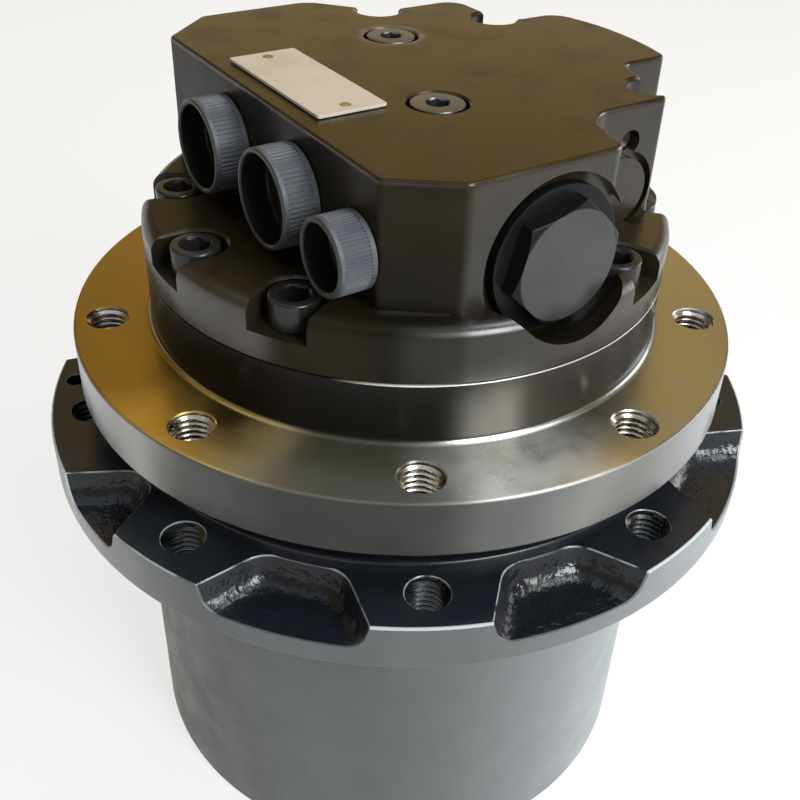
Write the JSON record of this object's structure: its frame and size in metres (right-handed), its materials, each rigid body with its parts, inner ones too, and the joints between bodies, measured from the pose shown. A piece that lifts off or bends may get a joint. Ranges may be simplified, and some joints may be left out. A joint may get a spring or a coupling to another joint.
{
  "type": "track final drive with piston motor",
  "caption": "Flange-mounted planetary track drive: turning hub drum with sprocket flange, fixed frame flange and a valve block with capped ports.",
  "frame": {"origin": "on the turning axis, in the plane of the hub drum's lower rim, which is the centre of the bounding box's bottom", "axes": "+Z along the turning axis, from the drum's end cover towards the valve block; the oil ports open towards -X and the large hexagon plugs face -Y and +Y"},
  "size_m": [0.222, 0.222, 0.2336],
  "materials": {
    "hub_paint": "satin blue-black paint over cast iron",
    "black_paint": "semi-gloss black paint",
    "turned_steel": "turned bare steel, painted collar",
    "ground_steel": "ground steel",
    "black_oxide": "black oxide",
    "plug_steel": "dull zinc-grey steel",
    "black_plastic": "moulded black plastic",
    "plate_metal": "pale satin metal, blank",
    "bronze": "bearing bronze",
    "friction": "steel disc with a brown friction lining"
  },
  "bodies": {
    "casing": {"motor_casing": "turned_steel", "rear_cover": "black_paint", "cover_bolt_1": "black_oxide", "cover_bolt_2": "black_oxide", "cover_bolt_3": "black_oxide", "cover_bolt_4": "black_oxide", "cover_bolt_5": "black_oxide", "cover_bolt_6": "black_oxide", "cover_bolt_7": "black_oxide", "top_plug_1": "plug_steel", "top_plug_2": "plug_steel", "name_plate": "plate_metal", "valve_plug_front": "black_oxide", "valve_plug_rear": "black_oxide", "swash_plate": "ground_steel", "valve_plate": "bronze", "inner_race_lower": "ground_steel", "inner_race_upper": "ground_steel", "bearing_nut": "black_oxide", "seal_ring_fixed": "ground_steel", "stage2_carrier": "ground_steel", "shaft_bearing_front": "ground_steel", "shaft_bearing_rear": "ground_steel", "brake_plate": "ground_steel"},
    "hub": {"hub_drum": "hub_paint", "end_cover": "hub_paint", "cover_snap_ring": "ground_steel", "oil_plug_1": "plug_steel", "oil_plug_2": "plug_steel", "outer_race_lower": "ground_steel", "outer_race_upper": "ground_steel", "seal_ring_turning": "ground_steel"},
    "rotor": {"motor_shaft": "ground_steel", "cylinder_block": "ground_steel", "piston_1": "ground_steel", "piston_2": "ground_steel", "piston_3": "ground_steel", "piston_4": "ground_steel", "piston_5": "ground_steel", "piston_6": "ground_steel", "piston_7": "ground_steel", "input_sun": "ground_steel", "shaft_coupling": "black_oxide", "brake_disc": "friction"},
    "first_stage": {"stage1_carrier": "ground_steel", "stage2_sun": "ground_steel"},
    "planet_1a": {"stage1_planet_1": "ground_steel"},
    "planet_1b": {"stage1_planet_2": "ground_steel"},
    "planet_1c": {"stage1_planet_3": "ground_steel"},
    "planet_2a": {"stage2_planet_1": "ground_steel"},
    "planet_2b": {"stage2_planet_2": "ground_steel"},
    "planet_2c": {"stage2_planet_3": "ground_steel"},
    "balls_lower": {"ball_set_lower": "bronze"},
    "balls_upper": {"ball_set_upper": "bronze"},
    "brake": {"brake_piston": "ground_steel"},
    "spool": {"counterbalance_spool": "ground_steel"},
    "cap_1": {"port_cap_1": "black_plastic"},
    "cap_2": {"port_cap_2": "black_plastic"},
    "cap_3": {"port_cap_3": "black_plastic"}
  },
  "joints": [
    {"name": "hub_spin", "type": "hinge", "parent": "casing", "child": "hub", "pos_m": [0, 0, 0.115], "axis": [0, 0, 1], "continuous": true},
    {"name": "rotor_spin", "type": "hinge", "parent": "casing", "child": "rotor", "pos_m": [0, 0, 0.13], "axis": [0, 0, 1], "continuous": true},
    {"name": "first_stage_spin", "type": "hinge", "parent": "casing", "child": "first_stage", "pos_m": [0, 0, 0.037], "axis": [0, 0, 1], "continuous": true},
    {"name": "planet_1a_spin", "type": "hinge", "parent": "first_stage", "child": "planet_1a", "pos_m": [0.0405, 0, 0.025], "axis": [0, 0, 1], "continuous": true},
    {"name": "planet_1b_spin", "type": "hinge", "parent": "first_stage", "child": "planet_1b", "pos_m": [-0.02025, 0.03507, 0.025], "axis": [0, 0, 1], "continuous": true},
    {"name": "planet_1c_spin", "type": "hinge", "parent": "first_stage", "child": "planet_1c", "pos_m": [-0.02025, -0.03507, 0.025], "axis": [0, 0, 1], "continuous": true},
    {"name": "planet_2a_spin", "type": "hinge", "parent": "casing", "child": "planet_2a", "pos_m": [0.045, 0, 0.0535], "axis": [0, 0, 1], "continuous": true},
    {"name": "planet_2b_spin", "type": "hinge", "parent": "casing", "child": "planet_2b", "pos_m": [-0.0225, 0.03897, 0.0535], "axis": [0, 0, 1], "continuous": true},
    {"name": "planet_2c_spin", "type": "hinge", "parent": "casing", "child": "planet_2c", "pos_m": [-0.0225, -0.03897, 0.0535], "axis": [0, 0, 1], "continuous": true},
    {"name": "balls_lower_roll", "type": "hinge", "parent": "casing", "child": "balls_lower", "pos_m": [0, 0, 0.0928], "axis": [0, 0, 1], "continuous": true},
    {"name": "balls_upper_roll", "type": "hinge", "parent": "casing", "child": "balls_upper", "pos_m": [0, 0, 0.1159], "axis": [0, 0, 1], "continuous": true},
    {"name": "brake_release", "type": "slide", "parent": "casing", "child": "brake", "axis": [0, 0, 1], "range_m": [0, 0.0012]},
    {"name": "spool_shift", "type": "slide", "parent": "casing", "child": "spool", "axis": [0, 1, 0], "range_m": [-0.005, 0.005]},
    {"name": "cap_1_pull", "type": "slide", "parent": "casing", "child": "cap_1", "axis": [-1, 0, 0], "range_m": [0, 0.02]},
    {"name": "cap_2_pull", "type": "slide", "parent": "casing", "child": "cap_2", "axis": [-1, 0, 0], "range_m": [0, 0.02]},
    {"name": "cap_3_pull", "type": "slide", "parent": "casing", "child": "cap_3", "axis": [-1, 0, 0], "range_m": [0, 0.02]}
  ],
  "couplings": [
    {"joint": "rotor_spin", "follows": "hub_spin", "ratio": -23},
    {"joint": "first_stage_spin", "follows": "hub_spin", "ratio": -3},
    {"joint": "planet_1a_spin", "follows": "hub_spin", "ratio": 10},
    {"joint": "planet_1b_spin", "follows": "hub_spin", "ratio": 10},
    {"joint": "planet_1c_spin", "follows": "hub_spin", "ratio": 10},
    {"joint": "planet_2a_spin", "follows": "hub_spin", "ratio": 3},
    {"joint": "planet_2b_spin", "follows": "hub_spin", "ratio": 3},
    {"joint": "planet_2c_spin", "follows": "hub_spin", "ratio": 3},
    {"joint": "balls_lower_roll", "follows": "hub_spin", "ratio": 0.5428},
    {"joint": "balls_upper_roll", "follows": "hub_spin", "ratio": 0.5428}
  ]
}
